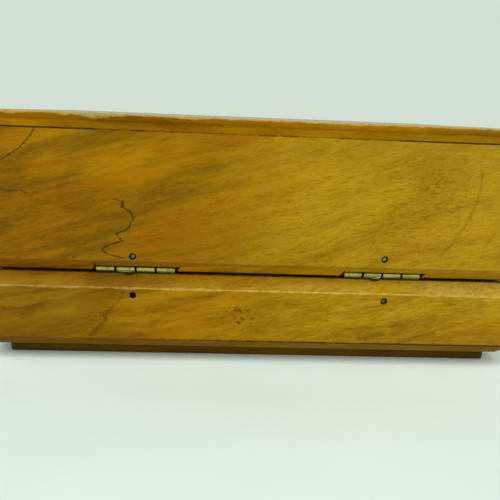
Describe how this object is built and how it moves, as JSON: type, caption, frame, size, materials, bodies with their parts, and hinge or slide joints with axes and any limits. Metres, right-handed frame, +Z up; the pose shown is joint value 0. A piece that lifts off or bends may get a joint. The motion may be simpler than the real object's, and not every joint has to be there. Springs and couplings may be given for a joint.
{
  "type": "wooden puzzle box",
  "caption": "Wooden box with a deep hinged lid on a shallow chamfered base; sliding strips hide its keyhole and key, and a bolt locks the lid.",
  "frame": {"origin": "on the table, under the middle of the closed box", "axes": "+X along the box's length, +Y towards the hinged back, +Z up"},
  "size_m": [0.174, 0.116, 0.0789],
  "materials": {
    "varnished_wood": "worn varnish",
    "board_wood": "worn varnish",
    "strip_wood": "worn varnish",
    "peg_wood": "bare wood",
    "brass": "dulled",
    "steel": "dulled"
  },
  "bodies": {
    "base": {"bottom_board": "board_wood", "base_back_rail": "varnished_wood", "base_front_rail": "varnished_wood", "base_left_rail": "varnished_wood", "base_right_rail": "varnished_wood", "front_fixed_strip": "strip_wood", "slide_stop_pegs": "peg_wood", "key": "brass", "hinge_left_lower_leaf": "brass", "hinge_right_lower_leaf": "brass", "hinge_left_pin": "steel", "hinge_right_pin": "steel", "base_hinge_nails": "steel", "lock_case": "brass", "lock_cover": "brass", "lock_screws": "steel", "lock_spring": "steel"},
    "keyhole_strip": {"keyhole_slide": "strip_wood"},
    "key_strip": {"key_slide": "strip_wood"},
    "bolt": {"lock_bolt": "brass"},
    "lid": {"lid_back_wall": "varnished_wood", "lid_front_wall": "varnished_wood", "lid_left_wall": "varnished_wood", "lid_right_wall": "varnished_wood", "top_board": "board_wood", "hinge_left_upper_leaf": "brass", "hinge_right_upper_leaf": "brass", "lid_hinge_nails": "steel", "strike_plate": "brass", "strike_pins": "steel"}
  },
  "joints": [
    {"name": "lid_hinge", "type": "hinge", "parent": "base", "child": "lid", "pos_m": [0, 0.0542, 0.0303], "axis": [-1, 0, 0], "range_deg": [0, 97]},
    {"name": "keyhole_strip_slide", "type": "slide", "parent": "base", "child": "keyhole_strip", "axis": [1, 0, 0], "range_m": [0, 0.03]},
    {"name": "key_strip_slide", "type": "slide", "parent": "base", "child": "key_strip", "axis": [0, -1, 0], "range_m": [0, 0.036]},
    {"name": "bolt_throw", "type": "slide", "parent": "base", "child": "bolt", "axis": [0, 0, 1], "range_m": [0, 0.0035]}
  ]
}
